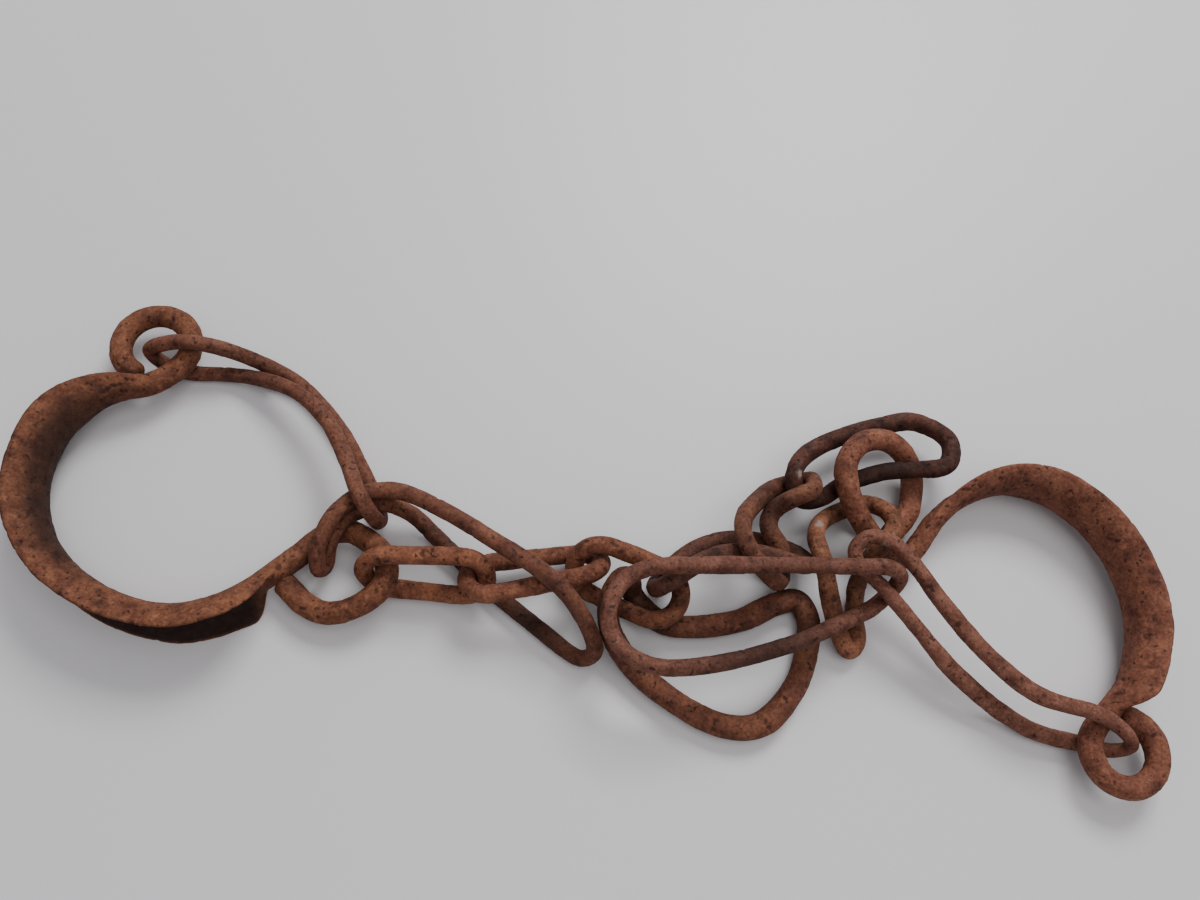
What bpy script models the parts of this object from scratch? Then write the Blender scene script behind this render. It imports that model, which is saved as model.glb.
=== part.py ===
"""Antique wrought-iron shackles: two gutter-shaped cuffs with rolled eyes, a hand-forged
chain between them, a hasp and a long locking link for each cuff, a centre ring and a side link.
Metres, +Z up.  The pieces lie on the floor plane z = 0, heaped as a limp chain lies."""

import math

import bpy
import numpy as np

MM = 0.001

# ---- driving dimensions (millimetres) -------------------------------------------------------
BAR_CHAIN = 3.2          # bar radius of the six chain links and of the side link
BAR_HASP = 2.7           # bar radius of the two hasps
BAR_LOCK = 2.8           # bar radius of the two long locking links
BAR_RING = 4.0           # bar radius of the centre ring
BAR_EYE = 3.9            # bar radius of the rolled eyes at the cuff ends
CUFF_HEIGHT = 24.0       # height of the cuff's gutter at its widest
CUFF_FLARE = 8.6         # how far the gutter's lips stand out from its web
CUFF_PLATE = 3.4         # thickness of the gutter's plate
LEFT_GUTTER = ((0.18, 0.34), (0.64, 0.71))      # where the gutter opens and closes, as
RIGHT_GUTTER = ((0.34, 0.56), (0.755, 0.812))   # shares of the cuff's length
LINK_SIDES = 8
CUFF_SIDES = 16


def clear_scene():
    for obj in list(bpy.data.objects):
        bpy.data.objects.remove(obj, do_unlink=True)


def iron(name, colour, roughness, metallic):
    mat = bpy.data.materials.new(name)
    mat.use_nodes = True
    shader = mat.node_tree.nodes["Principled BSDF"]
    shader.inputs["Base Color"].default_value = (*colour, 1.0)
    shader.inputs["Roughness"].default_value = roughness
    shader.inputs["Metallic"].default_value = metallic
    return mat


# ---- curves ---------------------------------------------------------------------------------
def through(points, closed, fine=12):
    """A smooth curve through hand-set points (Catmull-Rom, centripetal)."""
    pts = [np.array(p, float) for p in points]
    count = len(pts)
    if closed:
        pts = [pts[-1]] + pts + [pts[0], pts[1]]
    else:
        pts = [2 * pts[0] - pts[1]] + pts + [2 * pts[-1] - pts[-2]]
    out = []
    for i in range(count if closed else count - 1):
        a, b, c, d = pts[i : i + 4]
        t0 = 0.0
        t1 = t0 + np.linalg.norm(b - a) ** 0.5
        t2 = t1 + np.linalg.norm(c - b) ** 0.5
        t3 = t2 + np.linalg.norm(d - c) ** 0.5
        for t in np.linspace(t1, t2, fine, endpoint=False):
            ab = (t1 - t) / (t1 - t0) * a + (t - t0) / (t1 - t0) * b
            bc = (t2 - t) / (t2 - t1) * b + (t - t1) / (t2 - t1) * c
            cd = (t3 - t) / (t3 - t2) * c + (t - t2) / (t3 - t2) * d
            abc = (t2 - t) / (t2 - t0) * ab + (t - t0) / (t2 - t0) * bc
            bcd = (t3 - t) / (t3 - t1) * bc + (t - t1) / (t3 - t1) * cd
            out.append((t2 - t) / (t2 - t1) * abc + (t - t1) / (t2 - t1) * bcd)
    if not closed:
        out.append(pts[-2])
    return np.array(out)


def evenly(path, count, closed):
    """The same curve cut into equal steps."""
    p = np.vstack([path, path[:1]]) if closed else path
    s = np.r_[0, np.cumsum(np.linalg.norm(np.diff(p, axis=0), axis=1))]
    at = np.linspace(0, s[-1], count, endpoint=not closed)
    return np.stack([np.interp(at, s, p[:, k]) for k in range(3)], axis=1)


def arc(cx, cy, radius, start, end, count, z=0.0, rise=0.0, lean=0.0):
    """Points of a level or tilted arc; angles in degrees, anticlockwise from +X."""
    out = []
    for t in np.radians(np.linspace(start, end, count)):
        out.append(
            (
                cx + radius * math.cos(t),
                cy + radius * math.sin(t),
                z + rise * math.cos(t) + lean * math.sin(t),
            )
        )
    return out


# ---- solids ---------------------------------------------------------------------------------
def ring_faces(rings, sides, closed):
    faces = []
    for i in range(rings if closed else rings - 1):
        j = (i + 1) % rings
        for k in range(sides):
            m = (k + 1) % sides
            faces.append((i * sides + k, i * sides + m, j * sides + m, j * sides + k))
    if not closed:
        faces.append(tuple(range(sides))[::-1])
        faces.append(tuple(range((rings - 1) * sides, rings * sides)))
    return faces


def make_node(name, verts, faces, pivot, mat):
    mesh = bpy.data.meshes.new(name)
    local = (np.array(verts) - np.array(pivot, float)) * MM
    mesh.from_pydata([tuple(v) for v in local], [], faces)
    mesh.validate()
    mesh.materials.append(mat)
    obj = bpy.data.objects.new(name, mesh)
    bpy.context.scene.collection.objects.link(obj)
    obj.location = [c * MM for c in pivot]
    mesh.shade_smooth()
    return obj


def closed_bar(name, path, count, radius, pivot, mat, sides=LINK_SIDES):
    """A closed loop of round bar: the section is carried round the loop without twisting."""
    p = evenly(path, count, True)
    tangents = np.roll(p, -1, axis=0) - np.roll(p, 1, axis=0)
    tangents /= np.linalg.norm(tangents, axis=1)[:, None]
    side = np.cross(tangents[0], (0.0, 0.0, 1.0))
    side /= np.linalg.norm(side)
    frames = [side]
    for i in range(1, count + 1):
        t = tangents[i % count]
        side = side - t * side.dot(t)
        side /= np.linalg.norm(side)
        frames.append(side)
    first, last = frames[0], frames[-1]
    slip = math.atan2(np.cross(first, last).dot(tangents[0]), first.dot(last))
    verts = []
    for i in range(count):
        t, side = tangents[i], frames[i]
        other = np.cross(t, side)
        for k in range(sides):
            a = 2 * math.pi * k / sides - slip * i / count
            verts.append(p[i] + radius * (math.cos(a) * side + math.sin(a) * other))
    return make_node(name, verts, ring_faces(count, sides, True), pivot, mat)


def oval(near, far, width, roll, twist=0.0, sag=0.0, bow=0.0):
    """Centreline of a flat link: straight sides and half-round ends from end to end.
    The roll tips the link about its length, in degrees; + raises its left side.  The twist
    is added to the roll by the far end; sag lowers the middle and bow pushes it left."""
    near, far = np.array(near, float), np.array(far, float)
    along = far - near
    length = np.linalg.norm(along)
    along /= length
    level = np.cross((0.0, 0.0, 1.0), along)
    level /= np.linalg.norm(level)
    up = np.cross(along, level)
    r = width / 2
    flat = []
    for t in np.radians(np.linspace(90, 270, 13)):
        flat.append((r + r * math.cos(t), r * math.sin(t)))
    for x in np.linspace(r, length - r, 9)[1:-1]:
        flat.append((x, -r))
    for t in np.radians(np.linspace(-90, 90, 13)):
        flat.append((length - r + r * math.cos(t), r * math.sin(t)))
    for x in np.linspace(length - r, r, 9)[1:-1]:
        flat.append((x, r))
    out = []
    for x, y in flat:
        share = x / length
        a = math.radians(roll + twist * share)
        hump = math.sin(math.pi * min(max(share, 0.0), 1.0))
        across = math.cos(a) * level + math.sin(a) * up
        out.append(near + along * x + across * y + level * bow * hump - up * sag * hump)
    return np.array(out)


def cuff_section(blend):
    """Section of the cuff as (outward, up) pairs: 0 is round bar, 1 is the full gutter."""
    half = CUFF_SIDES // 2
    pairs = []
    for k in range(CUFF_SIDES):
        inner = k < half
        step = k if inner else CUFF_SIDES - 1 - k
        f = -1 + 2 * (step + 0.5) / half
        angle = math.pi * (step + 0.5) / half
        rx = -BAR_EYE * math.sin(angle) if inner else BAR_EYE * math.sin(angle)
        ry = -BAR_EYE * math.cos(angle)
        lip = 1.0 - 0.25 * abs(f) ** 3
        gx = CUFF_FLARE * abs(f) ** 2.5 + CUFF_PLATE / 2 * lip * (-1 if inner else 1)
        gy = CUFF_HEIGHT / 2 * f / 0.875 * (1.0 if inner else 0.93)
        pairs.append(((1 - blend) * rx + blend * gx, (1 - blend) * ry + blend * gy))
    return pairs


def ease(x):
    x = min(max(x, 0.0), 1.0)
    return x * x * (3 - 2 * x)


def cuff(name, path, steps, rise, fall, outward, pivot, mat):
    """A forging swept along an open path, round at its rolled eyes and a gutter between.
    The gutter opens out over the first pair of length shares and closes over the second."""
    p = evenly(path, steps, False)
    verts = []
    for i in range(steps):
        before, after = p[max(i - 1, 0)], p[min(i + 1, steps - 1)]
        t = after - before
        t /= np.linalg.norm(t)
        out = np.cross(t, (0.0, 0.0, 1.0)) * outward
        out /= np.linalg.norm(out)
        up = np.cross(out, t) * outward
        u = i / (steps - 1)
        opened = ease((u - rise[0]) / (rise[1] - rise[0]))
        blend = opened * (1 - ease((u - fall[0]) / (fall[1] - fall[0])))
        end = min(i, steps - 1 - i)
        shrink = (0.5, 0.85)[end] if end < 2 else 1.0
        for x, y in cuff_section(blend):
            verts.append(p[i] + shrink * (x * out + y * up))
    faces = ring_faces(steps, CUFF_SIDES, False)
    if outward < 0:
        faces = [f[::-1] for f in faces]
    return make_node(name, verts, faces, pivot, mat)


# ---- centrelines (millimetres) ---------------------------------------------------------------
LEFT_CUFF = through(
    arc(-160.0, 68.4, 12.4, 228, -32, 13, z=10.0)
    + [
        (-158, 53.5, 10.5),
        (-172, 47.5, 12),
        (-183.5, 34, 13),
        (-187.5, 13, 13),
        (-180.5, -7, 13),
        (-162, -22.5, 13),
        (-139, -28.5, 12.5),
        (-118, -21.5, 11.5),
        (-103.5, -9.5, 7.9),
        (-94, -0.5, 7),
        (-86.5, 1.5, 7.5),
        (-78, -3, 9.3),
        (-72, -10, 11.3),
        (-72, -18, 11.5),
        (-79.5, -25, 10),
        (-90.5, -27.5, 7),
        (-98.6, -24.2, 6.2),
        (-103.4, -19.6, 6),
    ],
    closed=False,
)

RIGHT_CUFF = through(
    [
        (106.8, 6.9, 6.3),
        (109.3, 9.6, 6.4),
        (112.8, 13.9, 6.5),
        (115, 21, 6.6),
        (115.8, 28.5, 7.4),
        (111.5, 35, 12.5),
        (102.5, 37.5, 18.5),
        (92.5, 34.5, 21.2),
        (86.6, 26, 21),
        (88.8, 15, 16.8),
        (95.5, 6, 11),
        (102, -1.0, 8),
        (109, -3.5, 7.5),
        (115.5, 2.5, 8),
        (121.0, 10, 10.3),
        (131, 17.8, 12),
        (147, 22.5, 13),
        (165, 18.5, 13),
        (180, 4.5, 13),
        (186.6, -13, 13),
        (187.0, -28.5, 12.6),
        (181.4, -44.5, 12.3),
        (174.8, -54.8, 10.7),
    ]
    + arc(176.5, -69.7, 11.8, 135, 408, 14, z=9.8),
    closed=False,
)

CENTRE_RING = through(
    [
        (30, -29.0, 4.4),
        (49, -26.5, 4.4),
        (62, -20.5, 4.4),
        (70, -19.0, 4.4),
        (73.5, -25.5, 4.4),
        (72.0, -37, 4.6),
        (67, -49, 4.6),
        (57, -60, 4.6),
        (51, -62.5, 4.6),
        (40, -61.5, 4.6),
        (23, -52.5, 4.6),
        (10, -41, 5.5),
        (3.5, -31, 11),
        (3, -22, 17.6),
        (7, -16.0, 18.8),
        (10.6, -15.2, 12.5),
        (12.0, -18.0, 5.2),
        (16.7, -23.5, 4.15),
        (22, -27.4, 4.1),
    ],
    closed=True,
)

LEFT_HASP = through(
    [
        (-162, 66.5, 10),
        (-155.0, 66.5, 16.0),
        (-147.5, 66.8, 17.3),
        (-138, 66.8, 14.4),
        (-128, 65.6, 9.8),
        (-116.5, 62.2, 4.8),
        (-107.5, 57.0, 3.1),
        (-93.2, 41.0, 3.0),
        (-83.4, 24.6, 3.1),
        (-77.5, 12.5, 3.2),
        (-75.8, 5.0, 8),
        (-77.5, 4.0, 18),
        (-81.5, 9.5, 25.0),
        (-86.8, 22.0, 19.6),
        (-95.6, 38.4, 16),
        (-109.0, 51.6, 12),
        (-125.5, 59.2, 6.0),
        (-137.5, 61.4, 3.2),
        (-147.5, 61.6, 2.9),
        (-156.5, 63.5, 3.8),
    ],
    closed=True,
)

RIGHT_HASP = through(
    [
        (179.5, -68.0, 9),
        (175.5, -64.8, 15.4),
        (166.2, -58.8, 17.4),
        (146, -52.7, 17.4),
        (130.5, -40, 18),
        (116.7, -23.4, 19.5),
        (107, -10.2, 22),
        (99.5, -3.3, 24),
        (91.5, -1.0, 24),
        (86.3, -5.5, 22.5),
        (88, -10.5, 21.5),
        (95, -17.5, 21),
        (106.2, -29.3, 17),
        (123, -46, 10),
        (147, -61.5, 3.8),
        (164, -66.0, 2.9),
        (175.5, -68.6, 3.8),
    ],
    closed=True,
)

LEFT_LOCK = through(
    [
        (-94.4, -13.2, 9.6),
        (-94.0, -8.0, 16.7),
        (-91.0, -0.5, 20.6),
        (-86.0, 7.0, 19.9),
        (-80.0, 11.8, 17.8),
        (-69, 12.8, 17.6),
        (-56, 7, 19.8),
        (-37, -5, 23.3),
        (-14, -20.6, 23.4),
        (-3.8, -32.5, 15),
        (-1.4, -39, 8.5),
        (-5.5, -40.5, 4.2),
        (-19.6, -30.5, 3.0),
        (-40, -14.3, 3.0),
        (-55, -0.2, 4),
        (-66, 8.5, 8.0),
        (-76, 10.6, 11.0),
        (-81.5, 7.2, 12.8),
        (-87.4, 2.6, 15.2),
        (-91.1, -4.2, 13.0),
        (-93.0, -11.0, 6.2),
    ],
    closed=True,
)

RIGHT_LOCK = through(
    [
        (1.5, -31.8, 26.8),
        (6.5, -19.5, 27.0),
        (16, -14.7, 27.2),
        (33, -13.8, 27.8),
        (50, -13.4, 28.2),
        (67, -13.0, 28.2),
        (87, -13.2, 28.3),
        (96, -12.8, 27.4),
        (101.6, -14.4, 22),
        (99.6, -18.3, 14.2),
        (93.4, -23.4, 13.4),
        (82, -29.0, 16),
        (65, -37, 20.5),
        (33, -46, 24),
        (16, -46.5, 25.2),
        (6, -41.5, 26.2),
    ],
    closed=True,
)

SIDE_LINK = through(
    [
        (102.9, 12.4, 12.5),
        (97, 16.5, 8.4),
        (88, 14.3, 5.7),
        (80, 9.0, 9.5),
        (75.5, 1.5, 15),
        (76.6, -8, 17.9),
        (79.5, -20, 12.5),
        (83.0, -31, 7.6),
        (87, -36.5, 4.6),
        (90.3, -32.5, 3.8),
        (90, -23, 4.6),
        (91, -13, 9.0),
        (94.8, -5.5, 14.6),
        (99.8, 0, 17.0),
        (103.8, 6, 16.0),
    ],
    closed=True,
)

LINK_1 = oval((-79.4, -13.5, 11.3), (-38, -15.5, 13.0), 16.9, 69, twist=-17)
LINK_2 = oval((-44.8, -17.2, 13.4), (0.6, -8.6, 12.0), 15.8, -30, twist=-18)
LINK_3 = oval((-8.2, -8.4, 12.7), (27.3, -22.8, 12.1), 18.4, 48, twist=-48)
LINK_4 = oval((19.2, -17.9, 13.0), (73.0, -5.8, 8.9), 15.8, -72, twist=27, sag=0.7, bow=10.5)
LINK_5 = through(
    [
        (75.6, 22.6, 14.6),
        (72.5, 24, 9.0),
        (64, 21.5, 8.8),
        (55.5, 14.0, 14),
        (49.4, 6.0, 20),
        (48.2, -1.5, 23.2),
        (51.8, -9.5, 22.8),
        (58.0, -14.3, 17.5),
        (62.8, -13.8, 10.4),
        (64.6, -8.2, 6.4),
        (63.6, -1.5, 10.8),
        (59.5, 5.0, 12.4),
        (61, 10.5, 14),
        (68, 14.0, 19.5),
        (74.5, 17, 19.5),
    ],
    closed=True,
)
LINK_6 = through(
    [
        (69, 24, 16.6),
        (75, 33, 13.5),
        (89.5, 41.5, 11),
        (105, 46.6, 10.5),
        (118, 48.5, 11),
        (128.7, 40, 14),
        (126, 29.5, 16),
        (114, 27.5, 15.6),
        (103, 27.0, 13.8),
        (88, 22.4, 11),
        (80, 17.4, 10.2),
        (72, 16.2, 11.4),
    ],
    closed=True,
)

# ---- where each piece turns ------------------------------------------------------------------
PIVOT_LINK_3 = (10.0, -12.0, 12.0)
PIVOT_LINK_2 = (0.3, -7.1, 12.2)
PIVOT_LINK_1 = (-41.4, -17.5, 16.0)
PIVOT_LEFT_CUFF = (-75.7, -11.4, 10.2)
PIVOT_LEFT_HASP = (-146.9, 64.6, 12.5)
PIVOT_LEFT_LOCK = (-24.9, -30.2, 10.5)
PIVOT_RING = (10.5, -24.1, 15.2)
PIVOT_LINK_4 = (21.6, -11.0, 16.4)
PIVOT_LINK_5 = (64.0, -8.6, 8.5)
PIVOT_LINK_6 = (73.8, 18.5, 15.9)
PIVOT_RIGHT_CUFF = (101.0, 36.0, 14.0)
PIVOT_SIDE_LINK = (87.2, 10.6, 13.8)
PIVOT_RIGHT_HASP = (172.0, -67.0, 8.5)
PIVOT_RIGHT_LOCK = (93.2, -15.5, 22.1)


def build():
    clear_scene()
    tone = {
        "left_cuff": (0.27, 0.12, 0.06),
        "right_cuff": (0.26, 0.115, 0.06),
        "left_hasp": (0.22, 0.10, 0.06),
        "right_hasp": (0.25, 0.12, 0.08),
        "left_locking_link": (0.22, 0.10, 0.06),
        "right_locking_link": (0.25, 0.12, 0.075),
        "chain_link_1": (0.24, 0.11, 0.06),
        "chain_link_2": (0.23, 0.105, 0.06),
        "chain_link_3": (0.23, 0.105, 0.055),
        "chain_link_4": (0.17, 0.08, 0.05),
        "chain_link_5": (0.24, 0.11, 0.06),
        "chain_link_6": (0.15, 0.07, 0.045),
        "centre_ring": (0.22, 0.095, 0.05),
        "side_link": (0.29, 0.135, 0.07),
    }
    mats = {name: iron(name + "_iron", colour, 0.86, 0.15) for name, colour in tone.items()}

    rise, fall = LEFT_GUTTER
    cuff("left_cuff", LEFT_CUFF, 92, rise, fall, 1, PIVOT_LEFT_CUFF, mats["left_cuff"])
    rise, fall = RIGHT_GUTTER
    cuff("right_cuff", RIGHT_CUFF, 92, rise, fall, -1, PIVOT_RIGHT_CUFF, mats["right_cuff"])

    bars = (
        ("left_hasp", LEFT_HASP, 56, BAR_HASP, PIVOT_LEFT_HASP),
        ("right_hasp", RIGHT_HASP, 58, BAR_HASP, PIVOT_RIGHT_HASP),
        ("left_locking_link", LEFT_LOCK, 56, BAR_LOCK, PIVOT_LEFT_LOCK),
        ("right_locking_link", RIGHT_LOCK, 52, BAR_LOCK, PIVOT_RIGHT_LOCK),
        ("chain_link_1", LINK_1, 30, BAR_CHAIN, PIVOT_LINK_1),
        ("chain_link_2", LINK_2, 32, BAR_CHAIN, PIVOT_LINK_2),
        ("chain_link_3", LINK_3, 30, BAR_CHAIN, PIVOT_LINK_3),
        ("chain_link_4", LINK_4, 34, BAR_CHAIN, PIVOT_LINK_4),
        ("chain_link_5", LINK_5, 36, BAR_CHAIN, PIVOT_LINK_5),
        ("chain_link_6", LINK_6, 40, BAR_CHAIN, PIVOT_LINK_6),
        ("side_link", SIDE_LINK, 40, BAR_CHAIN, PIVOT_SIDE_LINK),
    )
    for name, path, count, radius, pivot in bars:
        closed_bar(name, path, count, radius, pivot, mats[name])
    closed_bar("centre_ring", CENTRE_RING, 44, BAR_RING, PIVOT_RING, mats["centre_ring"], sides=10)


build()
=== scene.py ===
"""Antique wrought-iron shackles heaped on a pale floor: two gutter-section cuffs with rolled
eyes, hasps, long locking links, a hand-forged chain, a centre ring and a side link.

Each piece is a fine mesh swept along the centreline of its own bar, worn by noise in space."""

import math

import bpy
import numpy as np
from mathutils import Matrix, Vector


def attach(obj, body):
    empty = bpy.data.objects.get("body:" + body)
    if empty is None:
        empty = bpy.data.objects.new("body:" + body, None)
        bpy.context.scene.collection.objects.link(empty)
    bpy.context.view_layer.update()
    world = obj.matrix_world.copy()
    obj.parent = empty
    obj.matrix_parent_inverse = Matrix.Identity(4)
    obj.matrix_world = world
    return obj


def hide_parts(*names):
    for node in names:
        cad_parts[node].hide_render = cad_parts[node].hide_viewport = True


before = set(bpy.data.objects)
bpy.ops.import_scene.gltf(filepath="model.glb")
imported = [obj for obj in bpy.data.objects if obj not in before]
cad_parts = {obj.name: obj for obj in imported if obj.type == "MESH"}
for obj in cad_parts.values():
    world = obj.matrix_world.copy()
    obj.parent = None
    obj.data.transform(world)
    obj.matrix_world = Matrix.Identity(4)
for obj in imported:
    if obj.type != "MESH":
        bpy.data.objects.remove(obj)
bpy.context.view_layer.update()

MM = 0.001
UP = (0.0, 0.0, 1.0)

# ---- driving dimensions (millimetres) -------------------------------------------------------
BAR_CHAIN = 3.2          # bar radius of the six chain links and of the side link
BAR_HASP = 2.7           # bar radius of the two hasps
BAR_LOCK = 2.8           # bar radius of the two long locking links
BAR_RING = 4.0           # bar radius of the centre ring
BAR_EYE = 3.9            # bar radius of the rolled eyes at the cuff ends
CUFF_HEIGHT = 24.0       # height of the cuff's gutter at its widest
CUFF_FLARE = 8.6         # how far the gutter's lips stand out from its web
CUFF_PLATE = 3.4         # thickness of the gutter's plate
TIP_LENGTH = 2.6         # an eye's cut end is rounded off over this length
WELD_LENGTH = 6.0        # half the length of the lump at a forge weld

# ---- mesh -----------------------------------------------------------------------------------
GRAIN = 0.5    # spacing of the surface mesh, in millimetres
GUTTER_GIRTH = 30.0      # millimetres across one face of the gutter, for the mesh's spacing
CURVE_STEPS = 12         # curve steps between two given points
END_POINTS = 13          # points round a flat link's half-round end
SIDE_POINTS = 9          # and along each straight side, both corners counted
LOOP_ROUNDS = 10         # smoothing rounds over a closed link's centreline
CUFF_ROUNDS = 30         # and over a cuff's

# ---- hand work, as shares of the size it changes ----------------------------------------------
DRAWN_DOWN = 0.985       # bars end up a little under their nominal radius
UNEVEN = 0.10            # how much a bar's thickness, and its flatness, wander along it
FACETED = 0.022          # how far the hammer leaves a bar four-sided
WELD_LUMP = 0.03         # how much a forge weld thickens the bar
LIP_UNEVEN = 0.10        # how much the height of each lip wanders
FLARE_UNEVEN = 0.26      # how much the lips' standing out wanders
SHANK_FULL = 1.02        # the cuff's round ends are a little over their nominal radius
SHANK_UNEVEN = 0.07      # and wander by this much
TIP_SMALLEST = 0.08      # how small the section gets at an eye's cut end

# ---- wear (millimetres): how wide each kind of mark is, and how far it moves the surface --------
DENT_WIDTH, DENT_DEPTH = 10.0, 0.42
CRUST_WIDTH, CRUST_DEPTH = 2.4, 0.26
PIT_WIDTH, PIT_DEPTH = 1.9, 0.26
FLAKE_WIDTH, FLAKE_DEPTH = 4.5, 0.10
DIRT_WIDTH, DIRT_DEPTH = 1.6, 0.22
LOOP_WEAR = 0.8          # the links are worn this much as deep as the cuffs


# ---- curves ---------------------------------------------------------------------------------
def through(points, closed):
    """A smooth curve through given points (Catmull-Rom, centripetal)."""
    pts = [np.array(p, float) for p in points]
    count = len(pts)
    if closed:
        pts = [pts[-1]] + pts + [pts[0], pts[1]]
    else:
        pts = [2 * pts[0] - pts[1]] + pts + [2 * pts[-1] - pts[-2]]
    out = []
    for i in range(count if closed else count - 1):
        a, b, c, d = pts[i : i + 4]
        t0 = 0.0
        t1 = t0 + np.linalg.norm(b - a) ** 0.5
        t2 = t1 + np.linalg.norm(c - b) ** 0.5
        t3 = t2 + np.linalg.norm(d - c) ** 0.5
        for t in np.linspace(t1, t2, CURVE_STEPS, endpoint=False):
            ab = (t1 - t) / (t1 - t0) * a + (t - t0) / (t1 - t0) * b
            bc = (t2 - t) / (t2 - t1) * b + (t - t1) / (t2 - t1) * c
            cd = (t3 - t) / (t3 - t2) * c + (t - t2) / (t3 - t2) * d
            abc = (t2 - t) / (t2 - t0) * ab + (t - t0) / (t2 - t0) * bc
            bcd = (t3 - t) / (t3 - t1) * bc + (t - t1) / (t3 - t1) * cd
            out.append((t2 - t) / (t2 - t1) * abc + (t - t1) / (t2 - t1) * bcd)
    if not closed:
        out.append(pts[-2])
    return np.array(out)


def evenly(path, count, closed):
    """The same curve cut into equal steps."""
    p = np.vstack([path, path[:1]]) if closed else path
    s = np.r_[0, np.cumsum(np.linalg.norm(np.diff(p, axis=0), axis=1))]
    at = np.linspace(0, s[-1], count, endpoint=not closed)
    return np.stack([np.interp(at, s, p[:, k]) for k in range(3)], axis=1)


def arc(cx, cy, radius, start, end, count, z):
    """Points of a level arc; angles in degrees, anticlockwise from +X."""
    turn = np.radians(np.linspace(start, end, count))
    return [(cx + radius * math.cos(t), cy + radius * math.sin(t), z) for t in turn]


def oval(near, far, width, roll, twist=0.0, sag=0.0, bow=0.0):
    """Centreline of a flat link: straight sides and half-round ends from end to end.
    The roll tips the link about its length, in degrees; + raises its left side.  The twist
    is added to the roll by the far end; sag lowers the middle and bow pushes it left."""
    near, far = np.array(near, float), np.array(far, float)
    along = far - near
    length = np.linalg.norm(along)
    along /= length
    level = np.cross(UP, along)
    level /= np.linalg.norm(level)
    up = np.cross(along, level)
    r = width / 2
    flat = []
    for t in np.radians(np.linspace(90, 270, END_POINTS)):
        flat.append((r + r * math.cos(t), r * math.sin(t)))
    for x in np.linspace(r, length - r, SIDE_POINTS)[1:-1]:
        flat.append((x, -r))
    for t in np.radians(np.linspace(-90, 90, END_POINTS)):
        flat.append((length - r + r * math.cos(t), r * math.sin(t)))
    for x in np.linspace(length - r, r, SIDE_POINTS)[1:-1]:
        flat.append((x, r))
    out = []
    for x, y in flat:
        share = x / length
        a = math.radians(roll + twist * share)
        hump = math.sin(math.pi * min(max(share, 0.0), 1.0))
        across = math.cos(a) * level + math.sin(a) * up
        out.append(near + along * x + across * y + level * bow * hump - up * sag * hump)
    return np.array(out)


def smooth_path(p, closed, rounds):
    """Takes the polygon corners out of a centreline."""
    for _ in range(rounds):
        q = (np.roll(p, 1, axis=0) + 2 * p + np.roll(p, -1, axis=0)) / 4
        if not closed:
            q[0], q[-1] = p[0], p[-1]
        p = q
    return p


def frames_along(p):
    """Tangents and side vectors carried round a closed line without twisting, and the angle
    by which the side has slipped when it comes round again."""
    count = len(p)
    tangents = np.roll(p, -1, axis=0) - np.roll(p, 1, axis=0)
    tangents /= np.linalg.norm(tangents, axis=1)[:, None]
    side = np.cross(tangents[0], UP)
    side /= np.linalg.norm(side)
    sides = [side]
    for i in range(1, count + 1):
        t = tangents[i % count]
        side = side - t * side.dot(t)
        side /= np.linalg.norm(side)
        sides.append(side)
    slip = math.atan2(np.cross(sides[0], sides[-1]).dot(tangents[0]), sides[0].dot(sides[-1]))
    return tangents, np.array(sides[:count]), slip


# ---- centrelines (millimetres) ---------------------------------------------------------------
LEFT_CUFF = through(
    arc(-160.0, 68.4, 12.4, 254, -32, 15, z=10.0)
    + [
        (-158, 53.5, 10.5),
        (-172, 47.5, 12),
        (-183.5, 34, 13),
        (-187.5, 13, 13),
        (-180.5, -7, 13),
        (-162, -22.5, 13),
        (-139, -28.5, 12.5),
        (-118, -21.5, 11.5),
        (-103.5, -9.5, 7.9),
        (-94, -0.5, 7),
        (-86.5, 1.5, 7.5),
        (-78, -3, 9.3),
        (-72, -10, 11.3),
        (-72, -18, 11.5),
        (-79.5, -25, 10),
        (-90.5, -27.5, 7),
        (-98.6, -24.2, 6.2),
        (-103.4, -19.6, 6),
        (-107.5, -16.0, 6.4),
    ],
    closed=False,
)

RIGHT_CUFF = through(
    [
        (103.2, 2.6, 6.6),
        (106.8, 6.9, 6.3),
        (109.3, 9.6, 6.4),
        (112.8, 13.9, 6.5),
        (115, 21, 6.6),
        (115.8, 28.5, 7.4),
        (111.5, 35, 12.5),
        (102.5, 37.5, 18.5),
        (92.5, 34.5, 21.2),
        (86.6, 26, 21),
        (88.8, 15, 16.8),
        (95.5, 6, 11),
        (102, -1.0, 8),
        (109, -3.5, 7.5),
        (115.5, 2.5, 8),
        (121.0, 10, 10.3),
        (131, 17.8, 12),
        (147, 22.5, 13),
        (165, 18.5, 13),
        (180, 4.5, 13),
        (186.6, -13, 13),
        (187.0, -28.5, 12.6),
        (181.4, -44.5, 12.3),
        (174.8, -54.8, 10.7),
    ]
    + arc(176.5, -69.7, 11.8, 135, 447, 17, z=9.8),
    closed=False,
)

CENTRE_RING = through(
    [
        (30, -29.0, 4.4),
        (49, -26.5, 4.4),
        (62, -20.5, 4.4),
        (70, -19.0, 4.4),
        (73.5, -25.5, 4.4),
        (72.0, -37, 4.6),
        (67, -49, 4.6),
        (57, -60, 4.6),
        (51, -62.5, 4.6),
        (40, -61.5, 4.6),
        (23, -52.5, 4.6),
        (10, -41, 5.5),
        (3.5, -31, 11),
        (3, -22, 17.6),
        (7, -16.0, 18.8),
        (10.6, -15.2, 12.5),
        (12.0, -18.0, 5.2),
        (16.7, -23.5, 4.15),
        (22, -27.4, 4.1),
    ],
    closed=True,
)

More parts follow.
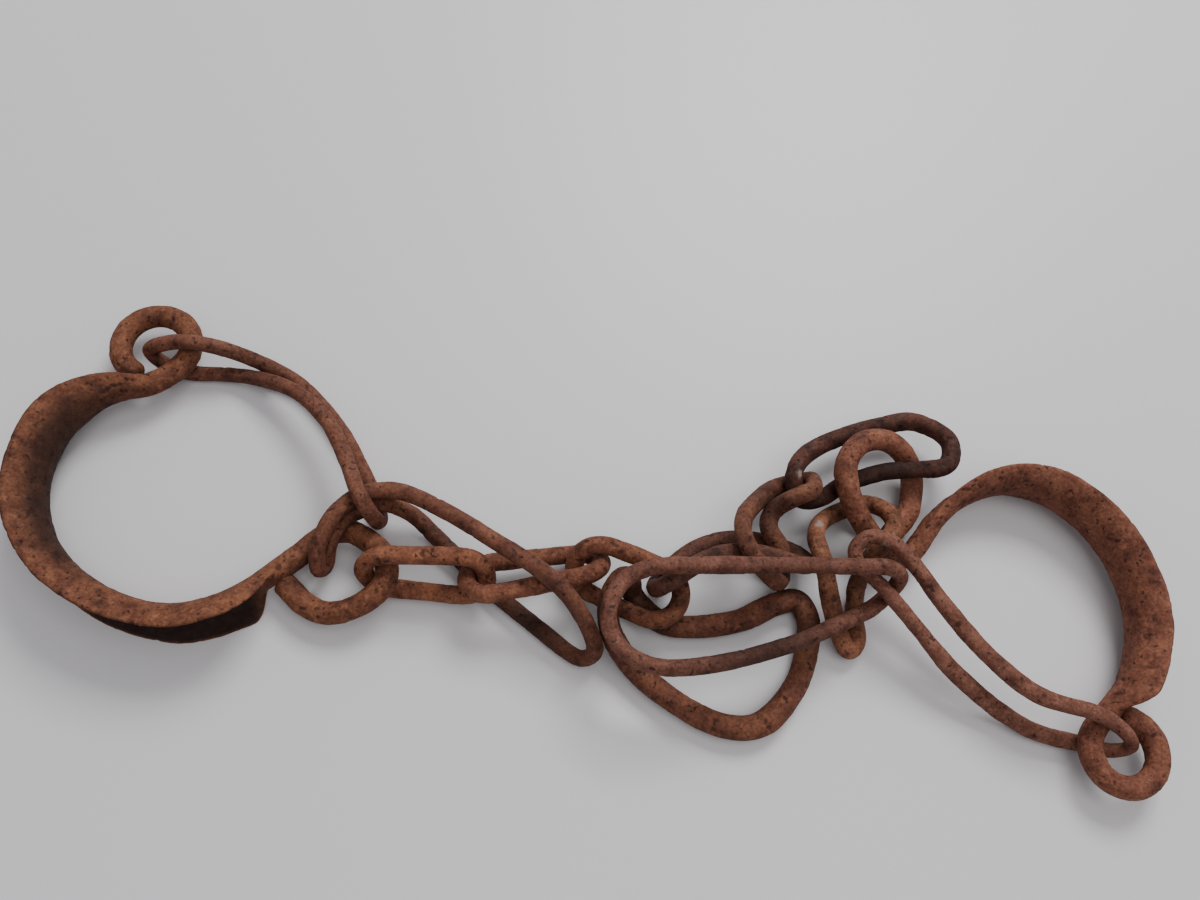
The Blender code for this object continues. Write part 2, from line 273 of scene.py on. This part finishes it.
LEFT_HASP = through(
    [
        (-162, 66.5, 10),
        (-155.0, 66.5, 16.0),
        (-147.5, 66.8, 17.3),
        (-138, 66.8, 14.4),
        (-128, 65.6, 9.8),
        (-116.5, 62.2, 4.8),
        (-107.5, 57.0, 3.1),
        (-93.2, 41.0, 3.0),
        (-83.4, 24.6, 3.1),
        (-77.5, 12.5, 3.2),
        (-75.8, 5.0, 8),
        (-77.5, 4.0, 18),
        (-81.5, 9.5, 25.0),
        (-86.8, 22.0, 19.6),
        (-95.6, 38.4, 16),
        (-109.0, 51.6, 12),
        (-125.5, 59.2, 6.0),
        (-137.5, 61.4, 3.2),
        (-147.5, 61.6, 2.9),
        (-156.5, 63.5, 3.8),
    ],
    closed=True,
)

RIGHT_HASP = through(
    [
        (179.5, -68.0, 9),
        (175.5, -64.8, 15.4),
        (166.2, -58.8, 17.4),
        (146, -52.7, 17.4),
        (130.5, -40, 18),
        (116.7, -23.4, 19.5),
        (107, -10.2, 22),
        (99.5, -3.3, 24),
        (91.5, -1.0, 24),
        (86.3, -5.5, 22.5),
        (88, -10.5, 21.5),
        (95, -17.5, 21),
        (106.2, -29.3, 17),
        (123, -46, 10),
        (147, -61.5, 3.8),
        (164, -66.0, 2.9),
        (175.5, -68.6, 3.8),
    ],
    closed=True,
)

LEFT_LOCK = through(
    [
        (-94.4, -13.2, 9.6),
        (-94.0, -8.0, 16.7),
        (-91.0, -0.5, 20.6),
        (-86.0, 7.0, 19.9),
        (-80.0, 11.8, 17.8),
        (-69, 12.8, 17.6),
        (-56, 7, 19.8),
        (-37, -5, 23.3),
        (-14, -20.6, 23.4),
        (-3.8, -32.5, 15),
        (-1.4, -39, 8.5),
        (-5.5, -40.5, 4.2),
        (-19.6, -30.5, 3.0),
        (-40, -14.3, 3.0),
        (-55, -0.2, 4),
        (-66, 8.5, 8.0),
        (-76, 10.6, 11.0),
        (-81.5, 7.2, 12.8),
        (-87.4, 2.6, 15.2),
        (-91.1, -4.2, 13.0),
        (-93.0, -11.0, 6.2),
    ],
    closed=True,
)

RIGHT_LOCK = through(
    [
        (1.5, -31.8, 26.8),
        (6.5, -19.5, 27.0),
        (16, -14.7, 27.2),
        (33, -13.8, 27.8),
        (50, -13.4, 28.2),
        (67, -13.0, 28.2),
        (87, -13.2, 28.3),
        (96, -12.8, 27.4),
        (101.6, -14.4, 22),
        (99.6, -18.3, 14.2),
        (93.4, -23.4, 13.4),
        (82, -29.0, 16),
        (65, -37, 20.5),
        (33, -46, 24),
        (16, -46.5, 25.2),
        (6, -41.5, 26.2),
    ],
    closed=True,
)

SIDE_LINK = through(
    [
        (102.9, 12.4, 12.5),
        (97, 16.5, 8.4),
        (88, 14.3, 5.7),
        (80, 9.0, 9.5),
        (75.5, 1.5, 15),
        (76.6, -8, 17.9),
        (79.5, -20, 12.5),
        (83.0, -31, 7.6),
        (87, -36.5, 4.6),
        (90.3, -32.5, 3.8),
        (90, -23, 4.6),
        (91, -13, 9.0),
        (94.8, -5.5, 14.6),
        (99.8, 0, 17.0),
        (103.8, 6, 16.0),
    ],
    closed=True,
)

LINK_1 = oval((-79.4, -13.5, 11.3), (-38, -15.5, 13.0), 16.9, 69, twist=-17)
LINK_2 = oval((-44.8, -17.2, 13.4), (0.6, -8.6, 12.0), 15.8, -30, twist=-18)
LINK_3 = oval((-8.2, -8.4, 12.7), (27.3, -22.8, 12.1), 18.4, 48, twist=-48)
LINK_4 = oval((19.2, -17.9, 13.0), (73.0, -5.8, 8.9), 15.8, -72, twist=27, sag=0.7, bow=10.5)
LINK_5 = through(
    [
        (75.6, 22.6, 14.6),
        (72.5, 24, 9.0),
        (64, 21.5, 8.8),
        (55.5, 14.0, 14),
        (49.4, 6.0, 20),
        (48.2, -1.5, 23.2),
        (51.8, -9.5, 22.8),
        (58.0, -14.3, 17.5),
        (62.8, -13.8, 10.4),
        (64.6, -8.2, 6.4),
        (63.6, -1.5, 10.8),
        (59.5, 5.0, 12.4),
        (61, 10.5, 14),
        (68, 14.0, 19.5),
        (74.5, 17, 19.5),
    ],
    closed=True,
)
LINK_6 = through(
    [
        (69, 24, 16.6),
        (75, 33, 13.5),
        (89.5, 41.5, 11),
        (105, 46.6, 10.5),
        (118, 48.5, 11),
        (128.7, 40, 14),
        (126, 29.5, 16),
        (114, 27.5, 15.6),
        (103, 27.0, 13.8),
        (88, 22.4, 11),
        (80, 17.4, 10.2),
        (72, 16.2, 11.4),
    ],
    closed=True,
)



# ---- marks on single pieces -------------------------------------------------------------------
# piece (None is every piece), place, size in millimetres, strength
DIRT = (
    (None, (71.0, 22.5, 20.0), 2.6, 0.9),
    (None, (77.0, 6.0, 16.5), 2.8, 0.9),
    (None, (52.0, -1.0, 25.0), 2.4, 0.7),
    (None, (96.0, -4.5, 25.0), 2.6, 0.6),
)
# painted shade: spots where a piece's colour is darkened to stand for shadow under and between the
# pieces
SHADE_SPOTS = (
    ("right_locking_link", (54.0, -41.0, 21.0), 25.0, 1.0),
    ("chain_link_6", (104.0, 28.0, 14.0), 20.0, 1.0),
    ("chain_link_6", (74.0, 17.0, 12.0), 12.0, 0.9),
    ("chain_link_4", (44.0, -18.0, 10.0), 16.0, 0.6),
    ("chain_link_5", (60.0, 12.0, 12.0), 9.0, 0.8),
    ("centre_ring", (13.0, -22.0, 6.0), 20.0, 0.8),
    ("centre_ring", (72.0, -30.0, 4.0), 12.0, 0.5),
    ("left_locking_link", (-22.0, -29.0, 3.0), 20.0, 1.0),
    ("left_locking_link", (-52.0, -3.0, 4.0), 14.0, 0.7),
    ("left_locking_link", (-86.0, 6.0, 12.0), 10.0, 0.6),
    ("left_hasp", (-125.0, 58.0, 4.0), 15.0, 0.5),
    ("left_cuff", (-101.0, -12.0, 4.0), 6.5, 0.9),
    ("chain_link_3", (20.0, -20.0, 8.0), 10.0, 0.6),
    ("side_link", (91.0, -6.0, 9.0), 13.0, 0.7),
)
LOOP_SHADE = 0.8          # the links take the painted shade this much as strongly as the cuffs

# where a bar is thicker (+), or worn thinner against its neighbour (-), as a share of its radius
SWELL = (
    ("right_hasp", (136.0, -42.0, 14.0), 27.0, 0.13),
    ("right_hasp", (92.0, -9.0, 23.0), 10.0, -0.06),
    ("right_hasp", (178.0, -65.0, 10.0), 10.0, -0.14),
    ("right_locking_link", (98.0, -16.0, 20.0), 10.0, -0.07),
    ("centre_ring", (55.0, -45.0, 4.5), 26.0, 0.05),
    ("centre_ring", (6.5, -21.0, 11.5), 12.0, -0.08),
    ("chain_link_3", (7.0, -21.0, 11.5), 12.0, -0.08),
    ("chain_link_6", (118.0, 37.0, 13.0), 17.0, 0.05),
    ("chain_link_6", (113.0, 30.0, 13.0), 6.0, -0.13),
)


# ---- noise ----------------------------------------------------------------------------------
GRID_SHIFT = 1000.0      # keeps the noise's grid numbers above zero
OCTAVE_SHARE = 0.55      # each finer octave's strength, of the one before
OCTAVE_SEED = 17         # and how far its seed lies from it


def hashed(ix, iy, iz, seed):
    """A repeatable value from 0 to 1 for each corner of the noise's grid."""
    n = ix * 374761393 + iy * 668265263 + iz * 2147483647 + seed * 974634777
    n = (n ^ (n >> 13)) * 1274126177
    n = n ^ (n >> 16)
    return (n & 0xFFFFFF) / float(0xFFFFFF)


def value_noise(p, size, seed):
    """Smooth noise from 0 to 1 over points p, in millimetres, with features of that size."""
    q = p / size + GRID_SHIFT
    i = np.floor(q).astype(np.int64)
    f = q - i
    f = f * f * (3 - 2 * f)
    total = np.zeros(len(p))
    for dx in (0, 1):
        wx = f[:, 0] if dx else 1 - f[:, 0]
        for dy in (0, 1):
            wy = f[:, 1] if dy else 1 - f[:, 1]
            for dz in (0, 1):
                wz = f[:, 2] if dz else 1 - f[:, 2]
                total += wx * wy * wz * hashed(i[:, 0] + dx, i[:, 1] + dy, i[:, 2] + dz, seed)
    return total


def fractal(p, size, seed, octaves):
    """The same noise with finer octaves added, still from 0 to 1."""
    out, weight, share = np.zeros(len(p)), 0.0, 1.0
    for k in range(octaves):
        out += share * value_noise(p, size / 2**k, seed + OCTAVE_SEED * k)
        weight += share
        share *= OCTAVE_SHARE
    return out / weight


def swing(p, size, seed, octaves):
    """The noise about zero, from -0.5 to 0.5."""
    return fractal(p, size, seed, octaves) - 0.5


def ramp(x, low, high):
    """A soft step from 0 at low to 1 at high."""
    t = np.clip((x - low) / (high - low), 0, 1)
    return t * t * (3 - 2 * t)


# ---- pieces ---------------------------------------------------------------------------------
def spotted(verts, spots, node):
    """How strongly the spots meant for this piece cover each point, from 0 to 1."""
    out = np.zeros(len(verts))
    for owner, place, size, strength in spots:
        if owner in (None, node):
            near = np.exp(-((np.linalg.norm(verts - np.array(place), axis=1) / size) ** 2))
            out = np.maximum(out, strength * near)
    return out


def corrode(verts, normals, seed, node, scale):
    """Hammer marks, scale and rust pits pushed into the surface; also the pits and the pale
    dirt caught between the pieces, as shares from 0 to 1."""
    # only the peaks of their noise make pits, flakes and dirt
    dents = swing(verts, DENT_WIDTH, seed, 2)
    crust = swing(verts, CRUST_WIDTH, seed + 3, 3)
    pits = ramp(fractal(verts, PIT_WIDTH, seed + 9, 2), 0.66, 0.82)
    flakes = ramp(fractal(verts, FLAKE_WIDTH, seed + 21, 3), 0.56, 0.62)
    ragged = 0.9 * swing(verts, DIRT_WIDTH, seed + 31, 3)
    dirt = ramp(spotted(verts, DIRT, node) + ragged, 0.42, 0.85)
    depth = DENT_DEPTH * dents + CRUST_DEPTH * crust - PIT_DEPTH * pits
    depth = depth + FLAKE_DEPTH * flakes + DIRT_DEPTH * dirt
    return verts + normals * (depth * scale)[:, None], pits, dirt


def grid_faces(rings, sides, closed):
    """Quads between rings of points; an open run gets a cap at each end."""
    faces = []
    for i in range(rings if closed else rings - 1):
        j = (i + 1) % rings
        for k in range(sides):
            m = (k + 1) % sides
            faces.append((i * sides + k, i * sides + m, j * sides + m, j * sides + k))
    if not closed:
        faces.append(tuple(range(sides))[::-1])
        faces.append(tuple(range((rings - 1) * sides, rings * sides)))
    return faces


def mesh_piece(node, verts, faces, mat, marks):
    """The visible piece that takes its solid's place; marks are shares for the rust to use."""
    mesh = bpy.data.meshes.new(node + "_iron")
    mesh.from_pydata([tuple(v) for v in verts * MM], [], faces)
    mesh.materials.append(mat)
    for label, value in marks.items():
        layer = mesh.attributes.new(label, "FLOAT", "POINT")
        layer.data.foreach_set("value", value.astype(np.float32))
    mesh.shade_smooth()
    obj = bpy.data.objects.new(node + "_iron", mesh)
    bpy.context.scene.collection.objects.link(obj)
    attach(obj, node)
    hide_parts(node)


def forged_loop(node, path, radius, weld_at, mat, seed):
    """A closed loop of hand-forged bar: uneven, a little flattened, lumpy at its weld."""
    length = np.linalg.norm(np.diff(np.vstack([path, path[:1]]), axis=0), axis=1).sum()
    count = int(length / GRAIN)
    sides = int(2 * math.pi * radius / GRAIN)
    p = smooth_path(evenly(path, count, True), True, LOOP_ROUNDS)
    tangents, side, slip = frames_along(p)
    other = np.cross(tangents, side)

    along = np.arange(count) / count
    line = np.stack([along * length, np.full(count, seed * 31.0), np.zeros(count)], axis=1)
    full = 1 + UNEVEN * swing(line, 16.0, seed, 2)
    flat = UNEVEN * swing(line, 26.0, seed + 5, 2)
    lump = WELD_LUMP * np.exp(-((np.abs(along - weld_at) * length / WELD_LENGTH) ** 2))
    for owner, place, size, gain in SWELL:
        if owner == node:
            near = np.linalg.norm(p - np.array(place), axis=1) / size
            lump = lump + gain * np.exp(-(near**4))

    a = 2 * math.pi * np.arange(sides) / sides
    turn = a[None, :] - slip * along[:, None]
    ca, sa = np.cos(turn), np.sin(turn)
    facet = 1 - FACETED * np.cos(4 * turn + 3 * fractal(line, 40.0, seed + 8, 1)[:, None])
    rx = radius * (full + flat + lump)[:, None] * facet * DRAWN_DOWN
    ry = radius * (full - flat + lump)[:, None] * facet * DRAWN_DOWN
    normals = ca[..., None] * side[:, None, :] + sa[..., None] * other[:, None, :]
    offset = (rx * ca)[..., None] * side[:, None, :] + (ry * sa)[..., None] * other[:, None, :]
    verts = (p[:, None, :] + offset).reshape(-1, 3)

    verts, pits, dirt = corrode(verts, normals.reshape(-1, 3), seed, node, LOOP_WEAR)
    # painted shade: darkens the loop where it lies in shadow under and between the pieces
    painted_shade = LOOP_SHADE * spotted(verts, SHADE_SPOTS, node)
    faces = grid_faces(count, sides, True)
    mesh_piece(node, verts, faces, mat, {"pit": pits, "dirt": dirt, "shade": painted_shade})


def forged_cuff(node, path, mat, seed, outward, lead, span, flare, rise, falls, wall, groove):
    """The cuff: a gutter with flared, ragged lips, drawn down to round bar at its rolled eyes.
    The gutter opens to the path's right (outward 1) or left (-1).  It rises over one stretch
    of the path; its top and its foot fall over two others.  Stretches are shares of the span,
    which starts a lead in from the path's start.  The wall is painted shade on the inside wall:
    where it comes, where it goes and how dark it is.  The groove is painted shadow in the
    outside groove: how dark its first half and its second half are."""
    length = np.linalg.norm(np.diff(path, axis=0), axis=1).sum()
    count = int(length / GRAIN)
    half = int(GUTTER_GIRTH / GRAIN)
    p = smooth_path(evenly(path, count, False), False, CUFF_ROUNDS)
    t = np.gradient(p, axis=0)
    t /= np.linalg.norm(t, axis=1)[:, None]
    out = np.cross(t, UP) * outward
    out /= np.linalg.norm(out, axis=1)[:, None]
    up = np.cross(out, t) * outward

    # how far the section is opened into a gutter, at its top and at its foot
    at = np.arange(count) / (count - 1) * length
    u = (at - lead) / span
    opened = ramp(u, *rise)
    top = opened * (1 - ramp(u, *falls[0]))
    foot = opened * (1 - ramp(u, *falls[1]))

    # up the inner face and down the outer one: f runs from -1 at the foot to 1 at the top
    step = np.r_[np.arange(half), np.arange(half)[::-1]]
    inner = np.r_[np.ones(half), np.zeros(half)].astype(bool)
    face = np.where(inner, -1.0, 1.0)
    f = -1 + 2 * (step + 0.5) / half

    # the round bar, and the gutter
    angle = math.pi * (step + 0.5) / half
    rx = face * BAR_EYE * np.sin(angle)
    ry = -BAR_EYE * np.cos(angle)
    line = np.stack([u * span, np.full(count, seed * 13.0), np.zeros(count)], axis=1)
    full = SHANK_FULL + SHANK_UNEVEN * swing(line, 14.0, seed + 2, 2)
    high = 1 + LIP_UNEVEN * swing(line, 34.0, seed, 3)
    low = 1 + LIP_UNEVEN * swing(line, 34.0, seed + 4, 3)
    stand = flare * (1 + FLARE_UNEVEN * swing(line, 26.0, seed + 6, 3))
    edge = np.sqrt(np.clip(1 - np.abs(f) ** 7, 0, 1)) * (1 - 0.22 * np.abs(f) ** 2)
    gx = stand[:, None] * (np.abs(f) ** 2.5)[None, :]
    gx = gx + CUFF_PLATE / 2 * edge[None, :] * face[None, :]
    gy = CUFF_HEIGHT / 2 * f[None, :] * np.where(f[None, :] > 0, high[:, None], low[:, None])
    gy = gy * np.where(inner, 1.0, 0.97)[None, :]

    # the one runs into the other, foot and top apart, and both ends are rounded off
    lean = ramp(f, -0.35, 0.35)[None, :]
    b = foot[:, None] * (1 - lean) + top[:, None] * lean
    x = (1 - b) * rx[None, :] * full[:, None] + b * gx
    y = (1 - b) * ry[None, :] * full[:, None] + b * gy
    from_end = np.minimum(np.arange(count), np.arange(count)[::-1]) * length / (count - 1)
    tip = np.clip(from_end / TIP_LENGTH, 0, 1)
    shrink = np.maximum(TIP_SMALLEST, np.sqrt(np.clip(1 - (1 - tip) ** 2, 0, 1)))[:, None]
    offset = (x * shrink)[..., None] * out[:, None, :] + (y * shrink)[..., None] * up[:, None, :]
    verts = p[:, None, :] + offset
    across = np.roll(verts, -1, axis=1) - np.roll(verts, 1, axis=1)
    normals = np.cross(np.gradient(verts, axis=0), across)
    normals /= np.linalg.norm(normals, axis=2)[..., None] + 1e-9
    if (normals * offset).sum(axis=2).mean() < 0:
        normals = -normals

    # painted shade on the inner wall and painted shadow in the groove, a little short of the lips'
    # edges
    comes, goes, wall_dark = wall
    inside = (inner * ramp(-f, -1.0, -0.55))[None, :] * top[:, None]
    inside = inside * (ramp(u, *comes) * (1 - ramp(u, *goes)))[:, None]
    outside = (~inner * ramp(1 - np.abs(f), 0.01, 0.07))[None, :] * np.maximum(top, foot)[:, None]
    filled = groove[0] + (groove[1] - groove[0]) * ramp(u, 0.45, 0.55)
    shade = np.maximum(wall_dark * inside, outside * filled[:, None]).reshape(-1)
    verts = verts.reshape(-1, 3)
    # painted shade spots laid over the wall and groove shade
    shade = np.maximum(shade, spotted(verts, SHADE_SPOTS, node))
    verts, pits, dirt = corrode(verts, normals.reshape(-1, 3), seed, node, 1.0)
    faces = grid_faces(count, 2 * half, False)
    if outward < 0:
        faces = [q[::-1] for q in faces]
    mesh_piece(node, verts, faces, mat, {"pit": pits, "dirt": dirt, "shade": shade})


# ---- materials ------------------------------------------------------------------------------
# noise in the rust: scale per metre, detail, roughness
BLOTCH = (150, 5, 0.6)
MOTTLE = (1000, 5, 0.65)
BLOOM = (330, 4, 0.6)
SPECK = (520, 2, 0.4)
DUST = (560, 4, 0.65)
DULL = (350, 3, 0.6)
FINE_RELIEF = (1300, 6, 0.72)
COARSE_RELIEF = (420, 4, 0.6)

MOTTLE_STOPS = ((0.34, (0.55, 0.52, 0.52)), (0.62, (1.22, 1.20, 1.18)))
DUST_COLOUR = (0.50, 0.39, 0.33)
DIRT_COLOUR = (0.33, 0.28, 0.24)


def rusty(name, dark, mid, light, dust, seed):
    """Brown rust over pitted iron: blotches, orange bloom, black pits, pale dirt and painted
    shade.
    """
    mat = bpy.data.materials.new(name)
    mat.use_nodes = True
    nodes, links = mat.node_tree.nodes, mat.node_tree.links
    shader = nodes["Principled BSDF"]
    coords = nodes.new("ShaderNodeTexCoord")
    place = nodes.new("ShaderNodeMapping")
    place.inputs["Location"].default_value = (seed, 2 * seed, -seed)
    links.new(coords.outputs["Object"], place.inputs["Vector"])

    def noise(scale, detail, rough):
        n = nodes.new("ShaderNodeTexNoise")
        n.inputs["Scale"].default_value = scale
        n.inputs["Detail"].default_value = detail
        n.inputs["Roughness"].default_value = rough
        links.new(place.outputs["Vector"], n.inputs["Vector"])
        return n.outputs["Fac"]

    def stops(source, *positions):
        r = nodes.new("ShaderNodeValToRGB")
        first, *between, last = positions
        for element, (at, tone) in zip(r.color_ramp.elements, (first, last)):
            element.position = at
            element.color = (*tone, 1)
        for at, tone in between:
            r.color_ramp.elements.new(at).color = (*tone, 1)
        links.new(source, r.inputs["Fac"])
        return r.outputs["Color"]

    def mix(a, b, share, kind="MIX"):
        m = nodes.new("ShaderNodeMix")
        m.data_type = "RGBA"
        m.blend_type = kind
        m.clamp_factor = True
        links.new(a, m.inputs["A"])
        if isinstance(b, tuple):
            m.inputs["B"].default_value = (*b, 1)
        else:
            links.new(b, m.inputs["B"])
        if isinstance(share, float):
            m.inputs["Factor"].default_value = share
        else:
            links.new(share, m.inputs["Factor"])
        return m.outputs["Result"]

    def mark(label):
        a = nodes.new("ShaderNodeAttribute")
        a.attribute_name = label
        return a.outputs["Fac"]

    def remap(source, low, high, to_low, to_high):
        m = nodes.new("ShaderNodeMapRange")
        m.inputs["From Min"].default_value = low
        m.inputs["From Max"].default_value = high
        m.inputs["To Min"].default_value = to_low
        m.inputs["To Max"].default_value = to_high
        links.new(source, m.inputs["Value"])
        return m.outputs["Result"]

    def relief(source, strength, distance):
        b = nodes.new("ShaderNodeBump")
        b.inputs["Strength"].default_value = strength
        b.inputs["Distance"].default_value = distance
        links.new(source, b.inputs["Height"])
        return b

    def times(tone, gain):
        return tuple(min(1, c * gain) for c in tone)

    blotch = stops(noise(*BLOTCH), (0.28, dark), (0.44, mid), (0.74, light))
    colour = mix(blotch, stops(noise(*MOTTLE), *MOTTLE_STOPS), 0.85, "MULTIPLY")
    colour = mix(colour, times(light, 1.3), remap(noise(*BLOOM), 0.55, 0.72, 0.0, 0.55))
    colour = mix(colour, times(dark, 0.55), remap(mark("pit"), 0.2, 0.9, 0.0, 0.7))
    colour = mix(colour, times(dark, 0.45), remap(noise(*SPECK), 0.665, 0.70, 0.0, 0.8))
    colour = mix(colour, DUST_COLOUR, remap(noise(*DUST), 0.66, 0.76, 0.0, dust))
    # painted shade: darkens the colour where the 'shade' mark says the piece lies in shadow
    colour = mix(colour, times(dark, 0.22), remap(mark("shade"), 0.0, 1.0, 0.0, 0.95))
    colour = mix(colour, DIRT_COLOUR, remap(mark("dirt"), 0.0, 1.0, 0.0, 0.6))
    links.new(colour, shader.inputs["Base Color"])
    links.new(remap(noise(*DULL), 0.3, 0.7, 0.66, 0.92), shader.inputs["Roughness"])
    shader.inputs["Metallic"].default_value = 0.05
    shader.inputs["Specular IOR Level"].default_value = 0.26

    fine = relief(noise(*FINE_RELIEF), 0.6, 0.0003)
    coarse = relief(noise(*COARSE_RELIEF), 0.5, 0.0006)
    links.new(coarse.outputs["Normal"], fine.inputs["Normal"])
    links.new(fine.outputs["Normal"], shader.inputs["Normal"])
    return mat


# rust of each piece: dark, middle and light tone, and how dusty it is
DARK, MIDDLE, LIGHT = (0.085, 0.030, 0.018), (0.185, 0.066, 0.036), (0.32, 0.125, 0.062)
RUST = {
    "left_cuff": ((0.080, 0.028, 0.017), (0.165, 0.059, 0.031), (0.29, 0.115, 0.055), 0.12),
    "right_cuff": ((0.095, 0.035, 0.022), (0.195, 0.069, 0.041), (0.30, 0.12, 0.067), 0.3),
    "left_hasp": ((0.085, 0.032, 0.021), (0.165, 0.062, 0.037), (0.25, 0.098, 0.056), 0.15),
    "right_hasp": ((0.10, 0.040, 0.026), (0.19, 0.074, 0.047), (0.27, 0.118, 0.077), 0.45),
    "left_locking_link": (
        (0.075, 0.029, 0.020),
        (0.155, 0.057, 0.034),
        (0.25, 0.098, 0.054),
        0.2,
    ),
    "right_locking_link": (
        (0.095, 0.038, 0.026),
        (0.175, 0.067, 0.043),
        (0.25, 0.108, 0.071),
        0.4,
    ),
    "chain_link_1": (DARK, (0.21, 0.075, 0.040), (0.35, 0.137, 0.068), 0.25),
    "chain_link_2": (DARK, (0.17, 0.060, 0.034), (0.29, 0.112, 0.058), 0.25),
    "chain_link_3": (DARK, MIDDLE, LIGHT, 0.2),
    "chain_link_4": ((0.055, 0.024, 0.017), (0.115, 0.046, 0.031), (0.18, 0.072, 0.044), 0.2),
    "chain_link_5": ((0.07, 0.025, 0.015), (0.135, 0.050, 0.029), (0.235, 0.097, 0.052), 0.4),
    "chain_link_6": ((0.032, 0.013, 0.010), (0.080, 0.028, 0.019), (0.16, 0.058, 0.034), 0.1),
    "centre_ring": ((0.07, 0.027, 0.018), (0.15, 0.053, 0.031), (0.25, 0.096, 0.048), 0.2),
    "side_link": ((0.10, 0.039, 0.022), (0.21, 0.082, 0.043), (0.35, 0.15, 0.078), 0.3),
}
# and how far age has darkened the three tones, in red, green and blue
AGE = ((0.60, 0.56, 0.50), (0.78, 0.75, 0.74), (0.87, 0.85, 0.85))
RUST_SHIFT = 0.37        # moves the rust's pattern from piece to piece

# ---- the fourteen pieces ----------------------------------------------------------------------
# loops: centreline, bar radius, and where the weld is as a share of the length
LOOPS = {
    "left_hasp": (LEFT_HASP, BAR_HASP, 0.12),
    "right_hasp": (RIGHT_HASP, BAR_HASP, 0.2),
    "left_locking_link": (LEFT_LOCK, BAR_LOCK, 0.35),
    "right_locking_link": (RIGHT_LOCK, BAR_LOCK, 0.8),
    "chain_link_1": (LINK_1, BAR_CHAIN, 0.3),
    "chain_link_2": (LINK_2, BAR_CHAIN, 0.7),
    "chain_link_3": (LINK_3, BAR_CHAIN, 0.25),
    "chain_link_4": (LINK_4, BAR_CHAIN, 0.6),
    "chain_link_5": (LINK_5, BAR_CHAIN, 0.15),
    "chain_link_6": (LINK_6, BAR_CHAIN, 0.4),
    "centre_ring": (CENTRE_RING, BAR_RING, 0.42),
    "side_link": (SIDE_LINK, BAR_CHAIN, 0.62),
}
FIRST_SEED, SEED_STEP = 11, 7


def build():
    """The rust of every piece, then the two cuffs and the twelve loops."""
    mats = {}
    for k, (node, (*tones, dust)) in enumerate(sorted(RUST.items())):
        tones = [tuple(g * c for g, c in zip(gain, t)) for gain, t in zip(AGE, tones)]
        mats[node] = rusty("rust_" + node, *tones, dust, RUST_SHIFT * k)
    forged_cuff(
        "left_cuff",
        LEFT_CUFF,
        mats["left_cuff"],
        seed=3,
        outward=1,
        lead=5.6,
        span=321.0,
        flare=CUFF_FLARE,
        rise=(0.18, 0.33),
        falls=((0.65, 0.72), (0.670, 0.706)),
        wall=((0.17, 0.25), (0.44, 0.56), 0.85),
        groove=(0.5, 1.0),
    )
    forged_cuff(
        "right_cuff",
        RIGHT_CUFF,
        mats["right_cuff"],
        seed=5,
        outward=-1,
        lead=5.6,
        span=325.7,
        flare=0.76 * CUFF_FLARE,
        rise=(0.32, 0.55),
        falls=((0.77, 0.815), (0.765, 0.81)),
        wall=((0.40, 0.46), (0.50, 0.56), 0.3),
        groove=(0.5, 0.5),
    )
    for k, (node, (path, radius, weld_at)) in enumerate(LOOPS.items()):
        forged_loop(node, path, radius, weld_at, mats[node], FIRST_SEED + SEED_STEP * k)


# ---- floor, light and camera ------------------------------------------------------------------
FLOOR_REACH = 4.0        # metres from the middle to the floor's edge
CAMERA_PLACE = (-0.029, -0.111, 0.3555)
CAMERA_RIGHT = (0.99641, 0.0, 0.08465)
CAMERA_BACK = (-0.07814, -0.38470, 0.91973)


def lay_floor():
    pale = bpy.data.materials.new("pale_floor")
    pale.use_nodes = True
    shader = pale.node_tree.nodes["Principled BSDF"]
    shader.inputs["Base Color"].default_value = (0.66, 0.64, 0.645, 1)
    shader.inputs["Roughness"].default_value = 0.42
    shader.inputs["Specular IOR Level"].default_value = 0.35
    mesh = bpy.data.meshes.new("floor")
    r = FLOOR_REACH
    mesh.from_pydata([(-r, -r, 0), (r, -r, 0), (r, r, 0), (-r, r, 0)], [], [(0, 1, 2, 3)])
    mesh.materials.append(pale)
    floor = bpy.data.objects.new("floor", mesh)
    bpy.context.scene.collection.objects.link(floor)


def area_light(name, place, width, height, power, colour):
    """A rectangle of soft light that looks at the middle of the floor."""
    light = bpy.data.lights.new(name, "AREA")
    light.shape = "RECTANGLE"
    light.size = width
    light.size_y = height
    light.energy = power
    light.color = colour
    obj = bpy.data.objects.new(name, light)
    obj.location = place
    obj.rotation_euler = (-Vector(place)).to_track_quat("-Z", "Y").to_euler()
    bpy.context.scene.collection.objects.link(obj)


def fill_room():
    """Pale light from all round."""
    world = bpy.data.worlds.new("soft_room")
    world.use_nodes = True
    back = world.node_tree.nodes["Background"]
    back.inputs["Color"].default_value = (0.94, 0.945, 1.0, 1)
    back.inputs["Strength"].default_value = 0.47
    bpy.context.scene.world = world


def set_camera():
    """Looks down on the heap from its near side."""
    cam = bpy.data.cameras.new("camera")
    cam.sensor_width = 36.0
    cam.lens = 31.35
    cam.clip_start = 0.01
    cam.dof.use_dof = False
    obj = bpy.data.objects.new("camera", cam)
    right, back = Vector(CAMERA_RIGHT).normalized(), Vector(CAMERA_BACK).normalized()
    up = back.cross(right).normalized()
    turn = Matrix((right, up, back)).transposed().to_4x4()
    obj.matrix_world = Matrix.Translation(CAMERA_PLACE) @ turn
    bpy.context.scene.collection.objects.link(obj)
    bpy.context.scene.camera = obj


build()
lay_floor()
area_light("window", (0.42, 1.05, 1.20), 0.75, 0.6, 22, (0.97, 0.985, 1.0))
area_light("ceiling", (0.35, -0.3, 1.7), 1.2, 1.2, 9, (1.0, 0.985, 0.97))
fill_room()
set_camera()
